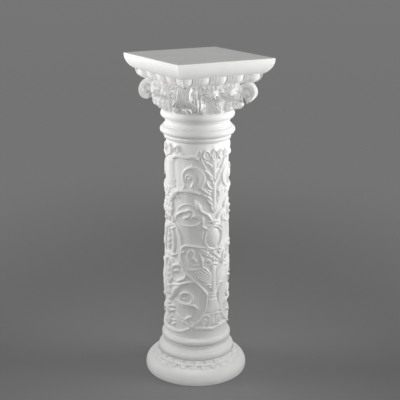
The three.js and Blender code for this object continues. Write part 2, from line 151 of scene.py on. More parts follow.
# Square top and the egg band under it, their faces as half side and height
TOP_HALF_SIDE = 163.5
TOP_INNER_HALF_SIDE = 128
TOP_UNDERSIDE = 955
TOP_CHAMFER = 1.2
TOP_STEPS = 24
TOP_FACE = ((141, TOP_UNDERSIDE), (149.5, 962), (157, 972.5), (162, 985), (TOP_HALF_SIDE, 997))
EGG_BAND_BOTTOM = 925.5
EGG_BAND_STEPS = 280
EGG_BAND_ROOT = ((90, 914), (104, 924.5))
EGG_BAND_FACE = (
    (116, EGG_BAND_BOTTOM), (121, 927.5), (127, 931), (133.5, 937.5), (136.8, 946), (138.6, 953),
)
EGG_BAND_TOP = (134, TOP_UNDERSIDE + 2)
EGG_BAND_CORNER = 3.5
EGG_BAND_FADE = 4
EGGS_PER_SIDE = 5
EGG_PITCH = 58
EGG_MIDDLE = 948
EGG_HALF_HEIGHT = 21.5
EGG_HALF_WIDTH = 16.5
EGG_BLUNTNESS = 2.4
EGG_DEPTH = 7.5
RIB_PITCH = 9.6
RIB_HEIGHT = 0.95

# Camera, fitted to the corners of the square top and to the round mouldings
CAMERA_DISTANCE = 2646.4
CAMERA_HEIGHT = 1328.1
CAMERA_TURN = math.radians(-31.44)
CAMERA_PAN = 0.0035
CAMERA_TILT = 0.2845
CAMERA_ROLL = 0.0083
FOCAL_LENGTH_PIXELS = 891.06
IMAGE_PIXELS = 400
SENSOR = 36.0

# Plaster: places along a ramp with their colours, and the scales of its noise
CLOUD_SHADES = ((0.3, (0.80, 0.795, 0.785)), (0.7, (0.86, 0.857, 0.85)))
GRAIN_SHADES = ((0.25, (0.93, 0.93, 0.93)), (0.7, (1, 1, 1)))
# Painted highlight on high edges and painted shade in the hollows, by pointiness
PAINTED_EDGE_LIGHT_HOLLOW_SHADE = (
    (0.43, (0.86, 0.855, 0.845)), (0.50, (1, 1, 1)), (0.57, (1.08, 1.08, 1.08)),
)
CLOUD_SCALE = 9
GRAIN_SCALE = 420
GRAIN_AMOUNT = 0.5
# How strongly the painted edge highlight and hollow shade are laid on the plaster
PAINTED_EDGE_LIGHT_HOLLOW_SHADE_AMOUNT = 0.8
ROUGHNESS_SCALE = 55
ROUGHNESS = (0.5, 0.68)
WAVE_SCALE = 38
PORE_SCALE = 900
SPECULAR = 0.35

# Floor, in metres
FLOOR_SIZE = 160
# Painted shade: the floor is darker near the pedestal, fading out with the distance
FLOOR_PAINTED_SHADE_REACH = (0.1, 2.6)
FLOOR_PAINTED_SHADE = (0.22, 0.43)
FLOOR_ROUGHNESS = 0.9

# Light: the world fades from the walls up to the ceiling. A panel has a place, which
# turns with the camera, and a point of the frame that it faces, both in metres, its
# size, its power in watts and the spread of its beam in degrees
WORLD_FADE = (0.0, 0.9)
WORLD_LIGHT = (0.565, 0.3)
PANELS = (
    ("left_panel", (-1.36, 0.12, 0.92), (0, 0, 0.9), (0.7, 0.7), 5.0, 95),
    ("right_panel", (1.35, 0.0, 0.92), (0, 0, 0.9), (0.8, 0.6), 5.4, 95),
    ("front_panel", (0.3, -2.6, 1.1), (0, 0, 0.8), (1.0, 0.5), 3.4, 100),
    ("capital_panel", (0.1, -2.4, 0.62), (0, 0, 0.9), (0.8, 0.25), 0.06, 16),
    ("base_panel", (-0.6, -2.0, 1.5), (0, -0.08, -0.03), (0.3, 0.2), 0.022, 8),
)


# Meshes
def mesh_object(name, points, faces):
    """A mesh object from points in millimetres."""
    mesh = bpy.data.meshes.new(name)
    mesh.from_pydata((np.asarray(points, float) * MM).tolist(), [], faces)
    mesh.validate()
    mesh.update()
    piece = bpy.data.objects.new(name, mesh)
    bpy.context.scene.collection.objects.link(piece)
    return piece


def smooth(piece, angle):
    """Shades a piece smooth, except over edges sharper than the angle in degrees."""
    piece.data.shade_smooth()
    piece.data.set_sharp_from_angle(angle=math.radians(angle))


def thinned(piece, triangles):
    """Merges the faces of a piece where it is smooth, down to a number of triangles."""
    modifier = piece.modifiers.new("thin", "DECIMATE")
    modifier.ratio = triangles / sum(len(face.vertices) - 2 for face in piece.data.polygons)
    depsgraph = bpy.context.evaluated_depsgraph_get()
    thin = bpy.data.meshes.new_from_object(piece.evaluated_get(depsgraph))
    thin.name = piece.name
    piece.modifiers.clear()
    piece.data = thin


def ring_faces(rows, columns):
    """Faces of rings stacked into a closed shell, the two ends closed by fans."""
    faces = []
    for row in range(rows - 1):
        low = row * columns
        high = low + columns
        for column in range(columns):
            after = (column + 1) % columns
            faces.append((low + column, low + after, high + after, high + column))
    bottom = rows * columns
    last = bottom - columns
    for column in range(columns):
        after = (column + 1) % columns
        faces.append((bottom, after, column))
        faces.append((bottom + 1, last + column, last + after))
    return faces


class Shells:
    """Gathers several closed shells into one mesh."""

    def __init__(self):
        self.points = []
        self.faces = []
        self.count = 0

    def add(self, rings):
        """A closed shell from rings, rows by columns by 3, with a fan at each end."""
        rows, columns, _ = rings.shape
        for face in ring_faces(rows, columns):
            self.faces.append(tuple(corner + self.count for corner in face))
        ends = [rings[0].mean(axis=0), rings[-1].mean(axis=0)]
        self.points.append(np.vstack([rings.reshape(-1, 3), ends]))
        self.count += rows * columns + 2

    def build(self, name):
        """The mesh object of all the shells."""
        return mesh_object(name, np.vstack(self.points), self.faces)


def closed_rings(name, rings):
    """A closed mesh from an array of rings, rows by columns by 3."""
    shell = Shells()
    shell.add(rings)
    return shell.build(name)


# Curves and grids
def arc(across, up, half_width, half_height, start, stop, steps):
    """Points along part of an ellipse about a centre, from angle to angle in degrees."""
    angles = np.radians(np.linspace(start, stop, steps + 1))
    return [
        (across + half_width * math.cos(a), up + half_height * math.sin(a)) for a in angles
    ]


def along_curve(before, start, stop, after, t):
    """The place at part t from start to stop on a smooth curve through four points."""
    return 0.5 * (
        2 * start + (stop - before) * t
        + (2 * before - 5 * start + 4 * stop - after) * t ** 2
        + (3 * start - before - 3 * stop + after) * t ** 3
    )


def spline(points, spacing=2.0):
    """A smooth line through the given points, as closely spaced points."""
    points = np.array(points, float)
    if len(points) == 2:
        middle = points.mean(axis=0)
        points = np.array([points[0], middle, points[1]])
    ends = np.vstack([2 * points[0] - points[1], points, 2 * points[-1] - points[-2]])
    line = []
    for i in range(1, len(ends) - 2):
        before, start, stop, after = ends[i - 1:i + 3]
        steps = max(2, int(np.linalg.norm(stop - start) / spacing))
        for t in np.linspace(0, 1, steps, endpoint=False):
            line.append(along_curve(before, start, stop, after, t))
    line.append(points[-1])
    return np.array(line)


def polar_rings(radius, turn, height):
    """An array of rings from radii, angles and heights that share rows and columns."""
    radius, turn, height = np.broadcast_arrays(radius, turn, height)
    return np.stack([radius * np.cos(turn), radius * np.sin(turn), height], axis=-1)


def turned(name, profile, columns, reshape=None):
    """A turned solid from radius and height pairs, bottom to top."""
    profile = np.array(profile, float)
    radius = np.repeat(profile[:, :1], columns, axis=1)
    height = np.repeat(profile[:, 1:], columns, axis=1)
    turn = np.repeat(np.arange(columns)[None, :] * TAU / columns, len(profile), axis=0)
    if reshape:
        radius, height = reshape(radius, height, turn)
    return closed_rings(name, polar_rings(radius, turn, height))


def mirrored(columns, per_part):
    """Which column of the drawn part stands at each column round the whole."""
    fold = np.arange(columns) % (2 * per_part)
    return np.minimum(fold, 2 * per_part - fold)


def by_hand(turn, waves):
    """The unevenness of hand work: waves given as size, count round and phase."""
    return sum(size * np.sin(count * turn + phase) for size, count, phase in waves)


def softened(height, sigma):
    """Blurs a grid of heights, mirrored at its edges, by a number of grid steps."""
    reach = int(3 * sigma) + 1
    weights = np.exp(-0.5 * (np.arange(-reach, reach + 1) / sigma) ** 2)
    weights = weights / weights.sum()
    for axis in (0, 1):
        margin = [(0, 0), (0, 0)]
        margin[axis] = (reach, reach)
        wide = np.pad(height, margin, mode="reflect")
        count = height.shape[axis]
        height = sum(
            weight * np.take(wide, np.arange(count) + i, axis=axis)
            for i, weight in enumerate(weights)
        )
    return height


# Camera
def build_camera():
    data = bpy.data.cameras.new("camera")
    data.sensor_width = SENSOR
    data.lens = FOCAL_LENGTH_PIXELS / IMAGE_PIXELS * SENSOR
    camera = bpy.data.objects.new("camera", data)
    forward = Vector((
        math.sin(CAMERA_PAN) * math.cos(CAMERA_TILT),
        math.cos(CAMERA_PAN) * math.cos(CAMERA_TILT),
        -math.sin(CAMERA_TILT),
    ))
    level_right = Vector((math.cos(CAMERA_PAN), -math.sin(CAMERA_PAN), 0))
    level_up = level_right.cross(forward)
    right = level_right * math.cos(CAMERA_ROLL) + level_up * math.sin(CAMERA_ROLL)
    up = level_up * math.cos(CAMERA_ROLL) - level_right * math.sin(CAMERA_ROLL)
    axes = Matrix((right, up, -forward)).transposed().to_4x4()
    place = Vector((0, -CAMERA_DISTANCE, CAMERA_HEIGHT)) * MM
    turn = Matrix.Rotation(CAMERA_TURN, 4, "Z")
    camera.matrix_world = turn @ Matrix.Translation(place) @ axes
    bpy.context.scene.collection.objects.link(camera)
    bpy.context.scene.camera = camera


# Materials
def map_range(tree, source, fade, values):
    """Maps a source from one range to another."""
    node = tree.nodes.new("ShaderNodeMapRange")
    node.inputs["From Min"].default_value, node.inputs["From Max"].default_value = fade
    node.inputs["To Min"].default_value, node.inputs["To Max"].default_value = values
    tree.links.new(source, node.inputs["Value"])
    return node


class Finish:
    """A procedural material and the nodes that feed its shader."""

    def __init__(self, name):
        self.material = bpy.data.materials.new(name)
        self.material.use_nodes = True
        self.tree = self.material.node_tree
        self.shader = self.tree.nodes["Principled BSDF"]
        self.place = self.tree.nodes.new("ShaderNodeTexCoord").outputs["Object"]

    def feed(self, source, name):
        """Links a source to an input of the shader."""
        self.tree.links.new(source, self.shader.inputs[name])

    def noise(self, scale, detail, roughness):
        node = self.tree.nodes.new("ShaderNodeTexNoise")
        node.inputs["Scale"].default_value = scale
        node.inputs["Detail"].default_value = detail
        node.inputs["Roughness"].default_value = roughness
        self.tree.links.new(self.place, node.inputs["Vector"])
        return node.outputs["Fac"]

    def ramp(self, source, shades):
        """Colours for a source, from places along a ramp and their colours."""
        node = self.tree.nodes.new("ShaderNodeValToRGB")
        self.tree.links.new(source, node.inputs["Fac"])
        elements = node.color_ramp.elements
        while len(elements) < len(shades):
            elements.new(0.5)
        for element, (position, colour) in zip(elements, shades):
            element.position = position
            element.color = (*colour, 1)
        return node.outputs["Color"]

    def multiplied(self, first, second, amount):
        """One colour darkened or lightened by another."""
        node = self.tree.nodes.new("ShaderNodeMix")
        node.data_type = "RGBA"
        node.blend_type = "MULTIPLY"
        node.inputs["Factor"].default_value = amount
        self.tree.links.new(first, node.inputs["A"])
        self.tree.links.new(second, node.inputs["B"])
        return node.outputs["Result"]

    def bump(self, source, strength, distance, below=None):
        """A bumpy surface, on top of the one below it."""
        node = self.tree.nodes.new("ShaderNodeBump")
        node.inputs["Strength"].default_value = strength
        node.inputs["Distance"].default_value = distance
        self.tree.links.new(source, node.inputs["Height"])
        if below:
            self.tree.links.new(below, node.inputs["Normal"])
        return node.outputs["Normal"]


# Plaster: soft clouds and a fine grain, with a painted highlight along high edges and
#  painted shade in the hollows, both from the pointiness of the mesh
def build_plaster():
    plaster = Finish("plaster")
    plaster.shader.inputs["Specular IOR Level"].default_value = SPECULAR
    clouds = plaster.ramp(plaster.noise(CLOUD_SCALE, 4, 0.55), CLOUD_SHADES)
    grain = plaster.ramp(plaster.noise(GRAIN_SCALE, 3, 0.6), GRAIN_SHADES)
    colour = plaster.multiplied(clouds, grain, GRAIN_AMOUNT)
    geometry = plaster.tree.nodes.new("ShaderNodeNewGeometry")
    # Painted light: high sharp edges lightened as a highlight, hollows darkened as shade
    painted_edge_light_hollow_shade = plaster.ramp(geometry.outputs["Pointiness"], PAINTED_EDGE_LIGHT_HOLLOW_SHADE)
    plaster.feed(plaster.multiplied(colour, painted_edge_light_hollow_shade, PAINTED_EDGE_LIGHT_HOLLOW_SHADE_AMOUNT), "Base Color")

    rough = map_range(plaster.tree, plaster.noise(ROUGHNESS_SCALE, 3, 0.5), (0, 1), ROUGHNESS)
    plaster.feed(rough.outputs["Result"], "Roughness")

    waves = plaster.bump(plaster.noise(WAVE_SCALE, 3, 0.5), 0.35, 0.0012)
    pores = plaster.bump(plaster.noise(PORE_SCALE, 2, 0.5), 0.18, 0.0004, waves)
    plaster.feed(pores, "Normal")
    return plaster.material


def dress(piece, node, material):
    """Puts a piece in the place of a solid, with its material."""
    piece.data.materials.clear()
    piece.data.materials.append(material)
    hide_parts(node)
    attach(piece, "root")


# Relief
class Relief:
    """Heights over a grid of places on an unrolled surface.

    What is put on it keeps the higher of the old and the new height."""

    # The least half width of a leaf, and its ribs and folds as parts of its height
    THINNEST = 1.2
    LOBE_LEAN = 0.55
    EDGE_STEEPNESS = 4.5
    CROWN_FALL = 0.32
    HOLLOW_REACH = 0.7
    FURROW = 0.22
    MIDRIB = 0.16
    MIDRIB_WIDTH = 0.13
    # The rim of a bowl and the petals of a boss, as parts of their half width
    RIM = 0.72
    RIM_WALL = 0.22
    PETAL = 0.22
    PETAL_FURROW = 0.35

    def __init__(self, u, z):
        self.u, self.z = np.meshgrid(u, z)
        self.height = np.zeros_like(self.u)

    def window(self, line, reach):
        """The rows and columns that lie within reach of a line."""
        low = line.min(axis=0) - reach
        high = line.max(axis=0) + reach
        rows = (self.z[:, 0] >= low[1]) & (self.z[:, 0] <= high[1])
        columns = (self.u[0] >= low[0]) & (self.u[0] <= high[0])
        return np.ix_(rows, columns)

    def around(self, u, z, half_u, half_z):
        """The rows and columns that hold an oval."""
        return self.window(np.array([(u - half_u, z - half_z), (u + half_u, z + half_z)], float), 1)

    def nearest(self, line, window):
        """Distance to a line and the part along it, for each place in a window."""
        u = self.u[window][..., None]
        z = self.z[window][..., None]
        starts = line[:-1]
        steps = np.diff(line, axis=0)
        lengths = np.hypot(steps[:, 0], steps[:, 1]) + 1e-9
        t = ((u - starts[:, 0]) * steps[:, 0] + (z - starts[:, 1]) * steps[:, 1]) / lengths ** 2
        t = np.clip(t, 0, 1)
        gaps = np.hypot(u - starts[:, 0] - t * steps[:, 0], z - starts[:, 1] - t * steps[:, 1])
        pick = gaps.argmin(axis=-1)[..., None]
        run = np.concatenate([[0], np.cumsum(lengths)])[:-1] + 0 * t
        along = np.clip((run + t * lengths) / lengths.sum(), 0, 1)
        gap = np.take_along_axis(gaps, pick, axis=-1)[..., 0]
        return gap, np.take_along_axis(along, pick, axis=-1)[..., 0]

    def put(self, window, height):
        self.height[window] = np.maximum(self.height[window], height)

    def stem(self, points, start, stop, height):
        """A round stem that tapers from one half width to another."""
        line = spline(points)
        window = self.window(line, max(start, stop) + 1)
        gap, along = self.nearest(line, window)
        half = start + (stop - start) * along
        part = np.clip(gap / half, 0, 1)
        self.put(window, height * (0.55 + 0.45 * half / max(start, stop)) * np.sqrt(1 - part ** 2))

    def leaf(self, points, half, height, lobes=0, root=0.3, tip=0.02, hollow=0.0, bite=0.3):
        """A leaf along a line: its edge may be cut in lobes and its middle hollowed.

        Root and tip are parts of its half width, hollow and bite of its height and width."""
        line = spline(points)
        window = self.window(line, half + 2)
        gap, along = self.nearest(line, window)
        swell = np.sin(math.pi * along ** 0.8) ** 0.75
        width = half * np.maximum(swell, root * (1 - along) + tip * along)
        part = gap / np.maximum(width, self.THINNEST)
        wave = np.zeros_like(gap)
        if lobes:
            wave = np.abs(np.sin(math.pi * (lobes * along - self.LOBE_LEAN * part)))
            part = part / (1 - bite * (1 - wave) * np.clip(along * 6, 0, 1))
        part = np.clip(part, 0, 1)
        edge = np.clip((1 - part) * self.EDGE_STEEPNESS, 0, 1) ** 0.6
        crown = 1 - self.CROWN_FALL * part ** 2
        bowl = 1 - hollow * (1 - np.clip(part / self.HOLLOW_REACH, 0, 1) ** 2)
        furrows = 1 - self.FURROW * (1 - wave) if lobes else 1.0
        midrib = self.MIDRIB * np.exp(-((gap / (self.MIDRIB_WIDTH * half + 0.6)) ** 2))
        ribs = furrows + midrib * (hollow == 0)
        rise = 0.55 + 0.45 * np.sin(math.pi * along ** 0.7)
        self.put(window, height * edge * crown * bowl * ribs * rise)

    def boss(self, u, z, half_u, half_z, height, petals=0):
        """A rounded boss, plain or cut into petals."""
        window = self.around(u, z, half_u, half_z)
        across = (self.u[window] - u) / half_u
        up = (self.z[window] - z) / half_z
        part = np.hypot(across, up)
        edge = np.ones_like(part)
        cut = 1.0
        if petals:
            wave = np.abs(np.cos(petals * np.arctan2(up, across) / 2))
            edge = 1 - self.PETAL + self.PETAL * wave
            cut = 1 - self.PETAL_FURROW * (1 - wave) * np.clip(part * 2, 0, 1)
        dome = np.sqrt(np.clip(1 - (part / edge) ** 2, 0, 1))
        self.put(window, height * dome * cut)

    def bowl(self, u, z, half_u, half_z, height, depth, tilt=0.0):
        """An almond with a raised rim round a hollow, its top leaning by the tilt.

        Its hollow is cut into what is already there."""
        reach = max(half_u, half_z)
        window = self.around(u, z, reach, reach)
        a = math.radians(tilt)
        east, north = self.u[window] - u, self.z[window] - z
        across = (east * math.cos(a) + north * math.sin(a)) / half_u
        up = (north * math.cos(a) - east * math.sin(a)) / half_z
        across = across / (1 - 0.3 * np.clip(np.abs(up), 0, 1) ** 2)
        part = np.hypot(across, up)
        wall = np.clip((1 - part) / self.RIM_WALL, 0, 1) ** 0.5
        floor = 1 - depth * np.clip(1 - (part / self.RIM) ** 4, 0, 1)
        before = self.height[window]
        kept = np.where(part > self.RIM, before, 0)
        carved = np.maximum(height * wall * floor, kept)
        self.height[window] = np.where(part < 1, carved, before)

    def pool(self, u, z, half_u, half_z, depth):
        """A hollow sunk into what is already there."""
        window = self.around(u, z, half_u, half_z)
        part = np.hypot((self.u[window] - u) / half_u, (self.z[window] - z) / half_z)
        fade = np.clip(1 - part ** 2, 0, 1)
        self.height[window] = np.maximum(self.height[window] - depth * fade, 0)

    def body(self, axis, outline, height, round_part=1.0, edge=0.5):
        """A raised form about an upright axis, from heights and its half widths there.

        The lower the edge is, the steeper the form stands up from the ground."""
        levels, halves = np.array(outline, float).T
        bottom, top = levels[0], levels[-1]
        widest = halves.max()
        window = self.window(np.array([(axis - widest, bottom), (axis + widest, top)]), 0.5)
        half = np.interp(self.z[window], levels, halves)
        part = np.abs(self.u[window] - axis) / half
        ends = np.minimum(self.z[window] - bottom, top - self.z[window])
        rounded = np.clip(ends / 3, 0, 1) ** 0.5
        shoulder = np.clip((part - 1) / round_part + 1, 0, 1)
        self.put(window, height * rounded * (1 - shoulder ** 2) ** edge)


# Carving of the shaft: u runs round from the front axis at 0 to the side axis a
# quarter turn away, and z is the height
def carve_scrolls(relief):
    """The running foliage between the front and the side axis."""
    stem, leaf, boss = relief.stem, relief.leaf, relief.boss
    # The uppermost scroll: a crescent leaf round a curled stem
    leaf([(62, 614), (48, 624), (40, 639), (40, 656), (48, 670), (62, 679), (78, 680)],
         11.5, 7.5, hollow=0.3, root=0.7)
    stem([(60, 682), (76, 680), (89, 672), (96, 660), (97, 646), (92, 636)], 5.2, 2, 6.5)
    stem([(70, 622), (64, 636), (66, 649), (74, 658), (85, 656), (88, 647)], 4.4, 3, 6.5)
    boss(76, 648, 8, 7.5, 7)
    leaf([(72, 678), (69, 685), (71, 692)], 3, 4)
    # The band from the side flower to the front cup
    stem([(134, 706), (122, 712), (108, 714), (92, 711.5), (76, 712), (64, 713.5), (53, 709)],
         7.4, 6.6, 7)
    leaf([(120, 716), (104, 722), (90, 720)], 3, 4)
    stem([(60, 712), (54, 720), (50, 732)], 2.4, 1.6, 4)
    # The arch over the second scroll, with its leafy end and twig
    leaf([(147, 560), (142, 576), (134, 589), (124, 599), (110, 606), (94, 608)], 11, 7.5,
         root=0.8, lobes=5, bite=0.24)
    stem([(114, 606), (94, 608), (76, 608), (60, 606), (48, 602)], 7.4, 6, 7)
    leaf([(101, 608), (97, 614), (94, 622)], 4, 5)
    stem([(122, 589), (115, 588), (110, 584)], 3, 2, 4.5)
    leaf([(96, 605), (84, 599), (72, 596)], 3, 4)
    # The bud and its stem
    leaf([(40, 546), (45, 556), (52, 568), (58, 581)], 8, 6.5, root=0.45)
    stem([(2, 505), (8, 515), (15, 527), (21, 535), (31, 541), (41, 547)], 4.4, 4.2, 6)
    # The second scroll
    stem([(39, 548), (52, 560), (74, 567), (92, 565), (106, 557), (114, 546)], 2.2, 1.8, 3)
    leaf([(116, 524), (111, 534), (102, 540), (90, 544), (80, 548)], 4.2, 6)
    stem([(86, 546), (78, 550), (70, 550), (64, 545), (62, 536), (66, 530)], 4.4, 4, 7)
    leaf([(96, 523), (86, 525), (78, 529), (74, 538)], 4.8, 6.5)
    stem([(76, 521), (66, 526), (56, 529.5), (47, 527), (44, 520)], 2.4, 2, 4.5)
    stem([(58, 534), (50, 534), (42, 530)], 2, 1.6, 3.5)
    stem([(118, 532), (122, 518), (114, 506), (100, 501), (82, 499), (64, 501), (50, 506),
          (42, 514)], 2.6, 2.4, 4)
    leaf([(38, 532), (36, 518), (36, 502)], 6.5, 4)
    leaf([(38, 499), (30, 495), (22, 488)], 4.5, 7)
    # The third scroll
    stem([(4, 425), (18, 430), (40, 433), (60, 435), (80, 437), (92, 434), (100, 426),
          (100, 418), (94, 413)], 4.2, 4.2, 6)
    boss(94, 415, 5.5, 5, 6.5)
    stem([(101, 424), (103, 408), (102, 390), (97, 374), (86, 364), (72, 359), (56, 361),
          (40, 365)], 2.4, 3.4, 4)
    leaf([(34, 362), (35, 376), (37, 392), (41, 406), (47, 416)], 5.5, 6.5, root=0.8)
    stem([(74, 421), (80, 410), (80, 394), (74, 382), (62, 375), (48, 376)], 2.2, 3, 4.5)
    stem([(66, 424), (61, 413), (62, 403), (66, 395)], 3, 2.4, 5)
    leaf([(62, 400), (56, 393), (50, 381)], 5, 7)
    leaf([(20, 410), (30, 420), (44, 426)], 4.5, 6, lobes=3)
    leaf([(18, 402), (30, 412), (46, 416)], 4, 5.5, lobes=3)
    # The fourth scroll and its long falling stem
    stem([(20, 277), (26, 286), (33, 296), (41, 306), (53, 318), (63, 328), (71, 337),
          (80, 343), (88, 353), (97, 363)], 4.6, 4.2, 6.5)
    leaf([(136, 350), (130, 363), (120, 369), (108, 371), (96, 365)], 7, 7.5, root=0.9)
    stem([(134, 352), (137, 340), (133, 327), (122, 319), (109, 319), (96, 325), (87, 336),
          (86, 348)], 3.6, 4.2, 6.5)
    leaf([(92, 331), (102, 324), (114, 320)], 5, 6.5)
    leaf([(131, 342), (124, 349), (114, 352), (108, 346)], 4, 6)
    # The fifth scroll under its broad arch
    leaf([(62, 320), (76, 320), (90, 315), (104, 309), (118, 304), (132, 302), (142, 298)],
         6, 7, root=0.5)
    leaf([(100, 306), (114, 296), (124, 284), (131, 272), (138, 260), (147, 251), (160, 246)],
         9, 7, root=0.45, tip=0.8)
    leaf([(48, 232), (56, 240), (68, 245), (84, 246), (100, 247), (112, 251), (123, 257)],
         5.6, 7, lobes=5, bite=0.16)
    stem([(96, 240), (80, 239), (62, 240)], 3.2, 2.4, 5)
    stem([(74, 246), (67, 255), (63, 265), (66, 275), (74, 282), (86, 284), (97, 280),
          (103, 271), (102, 260)], 4.6, 3, 6.5)
    stem([(97, 262), (91, 261), (86, 263)], 2.4, 2, 4)
    stem([(64, 173), (52, 182), (42, 193), (34, 207), (28, 222), (24, 240), (21, 258),
          (20, 277)], 4.2, 3.8, 5.5)
    leaf([(68, 207), (76, 203), (84, 197), (93, 195)], 4.8, 6.5)
    leaf([(90, 195), (100, 197), (108, 202), (118, 210)], 4, 5)
    # The crossing stems at the foot
    stem([(98, 187), (86, 184), (76, 177), (70, 171), (76, 165), (88, 159), (101, 153),
          (116, 150), (132, 149), (153, 150)], 2.2, 6.4, 6.5)
    stem([(76, 174), (62, 171), (50, 167), (30, 165), (12, 163), (0, 162)], 3.6, 5.5, 6.5)
    leaf([(64, 173), (58, 184), (49, 192), (38, 198)], 3.6, 4.5)
    leaf([(141, 167), (132, 170), (122, 175)], 4.4, 6.5)
    stem([(142, 181), (132, 184), (121, 185)], 2.6, 1.8, 4.5)


def carve_front_axis(relief):
    """What stands on the front axis: cup, stem, oval boss, flowers, vase and foot."""
    stem, leaf, boss = relief.stem, relief.leaf, relief.boss
    # The lotus cup: hollow lobes with raised rims
    relief.bowl(0, 716, 12, 21, 7, 0.7)
    relief.bowl(25, 718, 13.5, 16, 7, 0.7, -14)
    leaf([(0, 700), (0, 714), (0, 728)], 4, 4.6)
    leaf([(19, 706), (25, 716), (29, 727)], 4.4, 4.6, lobes=3)
    stem([(44, 730), (42, 716), (39, 702), (33, 688), (27, 677)], 2.4, 3.2, 6)
    leaf([(8, 676), (13, 688), (22, 693), (30, 700)], 5, 6.5)
    stem([(2, 676), (5, 690), (10, 702)], 2.6, 2.2, 6)
    # The stem and its side leaves
    relief.body(0, [(548, 9), (580, 8), (640, 6), (700, 9)], 6)
    leaf([(4, 648), (14, 656), (24, 666), (33, 674)], 6.5, 7, lobes=3, bite=0.2)
    leaf([(4, 640), (16, 650), (20, 664)], 4.5, 5.5)
    leaf([(4, 612), (14, 618), (22, 628), (24, 640)], 5, 6)
    relief.pool(0, 637, 5, 7, 7)
    leaf([(8, 604), (16, 608), (26, 614)], 4.5, 6)
    leaf([(10, 594), (24, 604), (34, 612), (43, 619)], 6.5, 7, lobes=3, bite=0.2)
    leaf([(6, 574), (18, 588), (32, 597), (46, 604)], 6, 6.5, lobes=4, bite=0.2)
    leaf([(4, 560), (16, 574), (26, 590)], 6, 6, lobes=4, bite=0.2)
    leaf([(0, 540), (8, 554), (10, 572)], 5.5, 6, lobes=3, bite=0.2)
    # The flat-topped collar over the oval boss
    leaf([(-24, 511), (0, 514), (24, 511)], 7, 7)
    stem([(0, 503), (12, 501), (26, 496), (34, 486)], 2.6, 2.4, 5)
    # The oval boss in its rim
    stem(arc(0, 461, 29, 37.12, 90, -90, 5), 3.2, 3.2, 6.5)
    boss(0, 461, 23, 31.5, 8.5)
    stem([(33, 480), (36, 466), (31, 452), (27, 440), (26, 430), (16, 424)], 2.6, 2.4, 5.5)
    # Flowers and fruit
    boss(0, 412, 9, 9, 7.5, 5)
    boss(12, 401, 8.5, 8, 7, 5)
    boss(0, 392, 8.5, 8.5, 7, 5)
    boss(13, 386, 7, 6.5, 6.5, 5)
    boss(21, 413, 6, 6, 6.5)
    boss(20, 393, 5, 5, 6)
    leaf([(6, 420), (16, 425), (27, 421), (36, 411)], 5, 6, lobes=3)
    leaf([(18, 398), (25, 388), (28, 374)], 4.6, 5.5, lobes=2)
    leaf([(-19, 371), (0, 378), (19, 371)], 6.5, 7.5)
    # The feathered wings
    for i in range(6):
        lift = 7.5 * i
        reach = 1 - 0.012 * i ** 2.1
        leaf([(6, 317 + lift * 0.35), (24 * reach, 321 + lift * 0.8),
              (44 * reach, 332 + lift * 0.9), (57 * reach, 347 + lift * 0.65)], 4.2, 6.5,
             root=0.7)
    leaf([(4, 307), (20, 312), (36, 308)], 4.6, 6.5)
    leaf([(4, 296), (12, 302), (18, 308)], 3.5, 5)
    relief.body(0, [(278, 8), (330, 9), (372, 8)], 6.5)
    # The vase: a ringed neck and a flared bell
    relief.body(0, [(277, 14), (284, 14)], 8)
    relief.body(0, [(266, 13.5), (275, 13.5)], 7.5)
    relief.body(0, [(217, 33), (222, 30.5), (234, 24), (247, 18.5), (264, 14.5)], 7, 0.8)
    stem([(0, 213), (18, 212), (33, 207)], 3.2, 3, 5.5)
    # The leafy foot with its two eyes
    stem([(4, 182), (8, 196), (18, 207), (30, 208), (39, 200), (42, 188)], 2.6, 2.4, 6)
    relief.bowl(28, 189, 10, 10.5, 6.5, 0.7)
    boss(28, 189, 3.5, 3.5, 5)
    leaf([(0, 172), (0, 188), (0, 206)], 5, 6.5)
    leaf([(8, 172), (13, 184), (11, 200)], 4.2, 6)
    leaf([(20, 170), (16, 178), (8, 184)], 3.4, 6)
    leaf([(0, 164), (18, 167), (40, 169), (60, 173)], 6.5, 7, lobes=7, bite=0.22)


